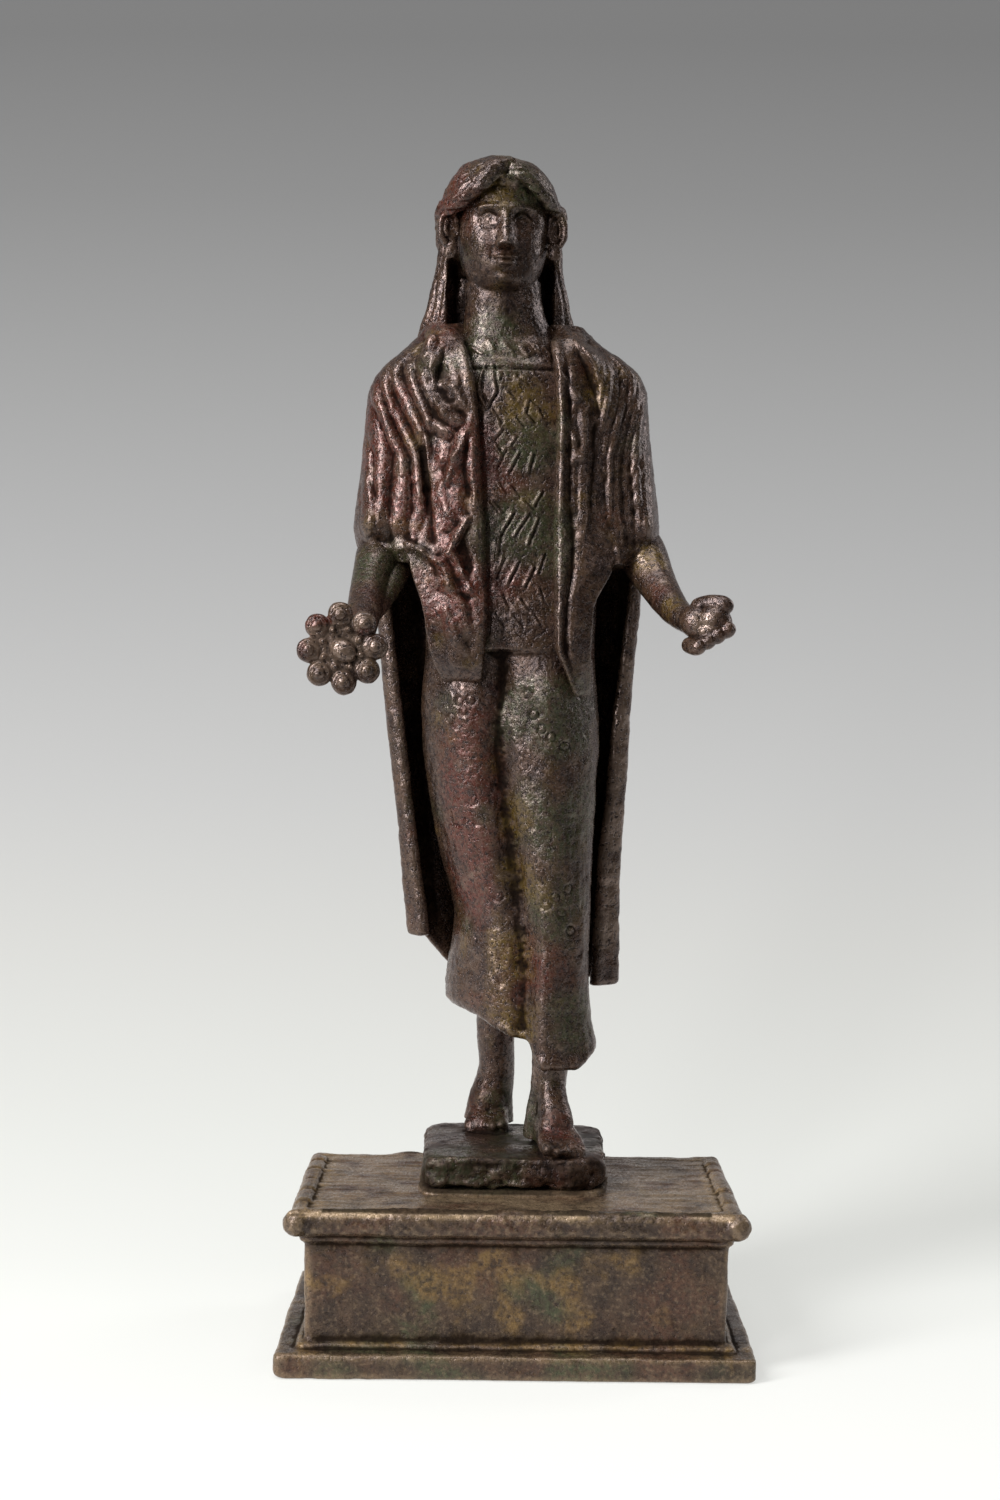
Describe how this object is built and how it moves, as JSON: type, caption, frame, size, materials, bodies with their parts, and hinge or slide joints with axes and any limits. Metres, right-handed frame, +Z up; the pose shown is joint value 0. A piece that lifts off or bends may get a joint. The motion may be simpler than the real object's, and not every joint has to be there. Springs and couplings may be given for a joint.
{
  "type": "votive statuette",
  "caption": "Draped standing figure in dark patinated cast bronze, holding out a flower-shaped dish, on a small plinth and a moulded rectangular bronze base.",
  "frame": {"origin": "middle of the base's underside, on the surface it stands on", "axes": "+X to the viewer's right, -Y the way the figure faces, +Z up through the figure"},
  "size_m": [0.0978, 0.0649, 0.2545],
  "materials": {
    "figure_bronze": "dark brown patinated cast bronze, worn and pitted, with reddish and green patches",
    "base_bronze": "brown patinated cast bronze with tan and green corrosion"
  },
  "bodies": {
    "root": {"figure": "figure_bronze", "base": "base_bronze"}
  },
  "joints": []
}
